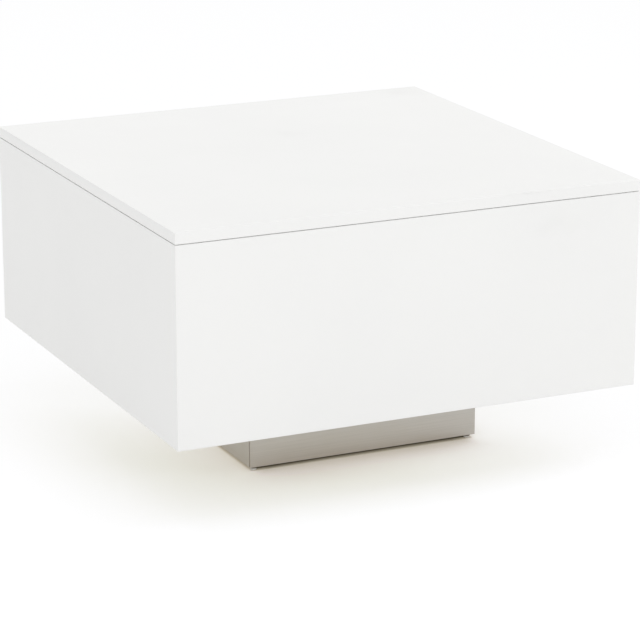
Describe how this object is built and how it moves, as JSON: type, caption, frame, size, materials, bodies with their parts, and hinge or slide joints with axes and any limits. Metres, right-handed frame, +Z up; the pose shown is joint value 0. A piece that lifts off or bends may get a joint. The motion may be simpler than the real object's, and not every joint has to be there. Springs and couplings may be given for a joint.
{
  "type": "coffee table",
  "caption": "Low square coffee table: closed white box with a flush top over a fine shadow seam, on a smaller set-back plinth faced in brushed metal, standing on small felt-soled glides.",
  "frame": {"origin": "on the floor under the middle of the table", "axes": "+Z up, the front faces -Y, +X to the right seen from the front"},
  "size_m": [0.8, 0.8, 0.46],
  "materials": {
    "white_lacquer": "satin white lacquer on fibreboard",
    "white_melamine": "white melamine-faced board",
    "raw_board": "raw fibreboard",
    "pine": "planed softwood",
    "beech": "turned beech",
    "brushed_metal": "satin brushed sheet",
    "glide_plastic": "brown moulded plastic",
    "felt": "pale pressed felt",
    "cam_zinc": "die-cast zinc",
    "bolt_steel": "zinc-plated steel",
    "screw_steel": "yellow zinc-plated steel"
  },
  "bodies": {
    "table": {"top_panel": "white_lacquer", "bottom_panel": "white_melamine", "front_panel": "white_lacquer", "cleat_front": "pine", "plinth_front_board": "raw_board", "plinth_front_sheet": "brushed_metal", "right_panel": "white_lacquer", "cleat_right": "pine", "plinth_right_board": "raw_board", "plinth_right_sheet": "brushed_metal", "back_panel": "white_lacquer", "cleat_back": "pine", "plinth_back_board": "raw_board", "plinth_back_sheet": "brushed_metal", "left_panel": "white_lacquer", "cleat_left": "pine", "plinth_left_board": "raw_board", "plinth_left_sheet": "brushed_metal", "corner_block_front_left": "pine", "plinth_block_front_left": "pine", "glide_front_left": "glide_plastic", "felt_front_left": "felt", "corner_block_front_right": "pine", "plinth_block_front_right": "pine", "glide_front_right": "glide_plastic", "felt_front_right": "felt", "corner_block_back_right": "pine", "plinth_block_back_right": "pine", "glide_back_right": "glide_plastic", "felt_back_right": "felt", "corner_block_back_left": "pine", "plinth_block_back_left": "pine", "glide_back_left": "glide_plastic", "felt_back_left": "felt", "top_cam_bolts": "bolt_steel", "plinth_cam_bolts": "bolt_steel", "top_dowels": "beech", "plinth_dowels": "beech", "corner_block_screws": "screw_steel", "cleat_screws": "screw_steel", "bottom_panel_screws": "screw_steel", "plinth_block_screws": "screw_steel", "glide_nails": "bolt_steel"},
    "cam_front_left": {"cam_front_left": "cam_zinc"},
    "cam_front_right": {"cam_front_right": "cam_zinc"},
    "cam_right_front": {"cam_right_front": "cam_zinc"},
    "cam_right_back": {"cam_right_back": "cam_zinc"},
    "cam_back_right": {"cam_back_right": "cam_zinc"},
    "cam_back_left": {"cam_back_left": "cam_zinc"},
    "cam_left_back": {"cam_left_back": "cam_zinc"},
    "cam_left_front": {"cam_left_front": "cam_zinc"},
    "plinth_cam_front_left": {"plinth_cam_front_left": "cam_zinc"},
    "plinth_cam_front_right": {"plinth_cam_front_right": "cam_zinc"},
    "plinth_cam_back_right": {"plinth_cam_back_right": "cam_zinc"},
    "plinth_cam_back_left": {"plinth_cam_back_left": "cam_zinc"}
  },
  "joints": [
    {"name": "cam_front_left_turn", "type": "hinge", "parent": "table", "child": "cam_front_left", "pos_m": [-0.22, -0.382, 0.418], "axis": [0, 1, 0], "range_deg": [0, 180]},
    {"name": "cam_front_right_turn", "type": "hinge", "parent": "table", "child": "cam_front_right", "pos_m": [0.22, -0.382, 0.418], "axis": [0, 1, 0], "range_deg": [0, 180]},
    {"name": "cam_right_front_turn", "type": "hinge", "parent": "table", "child": "cam_right_front", "pos_m": [0.382, -0.22, 0.418], "axis": [-1, 0, 0], "range_deg": [0, 180]},
    {"name": "cam_right_back_turn", "type": "hinge", "parent": "table", "child": "cam_right_back", "pos_m": [0.382, 0.22, 0.418], "axis": [-1, 0, 0], "range_deg": [0, 180]},
    {"name": "cam_back_right_turn", "type": "hinge", "parent": "table", "child": "cam_back_right", "pos_m": [0.22, 0.382, 0.418], "axis": [0, -1, 0], "range_deg": [0, 180]},
    {"name": "cam_back_left_turn", "type": "hinge", "parent": "table", "child": "cam_back_left", "pos_m": [-0.22, 0.382, 0.418], "axis": [0, -1, 0], "range_deg": [0, 180]},
    {"name": "cam_left_back_turn", "type": "hinge", "parent": "table", "child": "cam_left_back", "pos_m": [-0.382, 0.22, 0.418], "axis": [1, 0, 0], "range_deg": [0, 180]},
    {"name": "cam_left_front_turn", "type": "hinge", "parent": "table", "child": "cam_left_front", "pos_m": [-0.382, -0.22, 0.418], "axis": [1, 0, 0], "range_deg": [0, 180]},
    {"name": "plinth_cam_front_left_turn", "type": "hinge", "parent": "table", "child": "plinth_cam_front_left", "pos_m": [-0.12, -0.2025, 0.099], "axis": [0, 1, 0], "range_deg": [0, 180]},
    {"name": "plinth_cam_front_right_turn", "type": "hinge", "parent": "table", "child": "plinth_cam_front_right", "pos_m": [0.12, -0.2025, 0.099], "axis": [0, 1, 0], "range_deg": [0, 180]},
    {"name": "plinth_cam_back_right_turn", "type": "hinge", "parent": "table", "child": "plinth_cam_back_right", "pos_m": [0.12, 0.2025, 0.099], "axis": [0, -1, 0], "range_deg": [0, 180]},
    {"name": "plinth_cam_back_left_turn", "type": "hinge", "parent": "table", "child": "plinth_cam_back_left", "pos_m": [-0.12, 0.2025, 0.099], "axis": [0, -1, 0], "range_deg": [0, 180]}
  ]
}
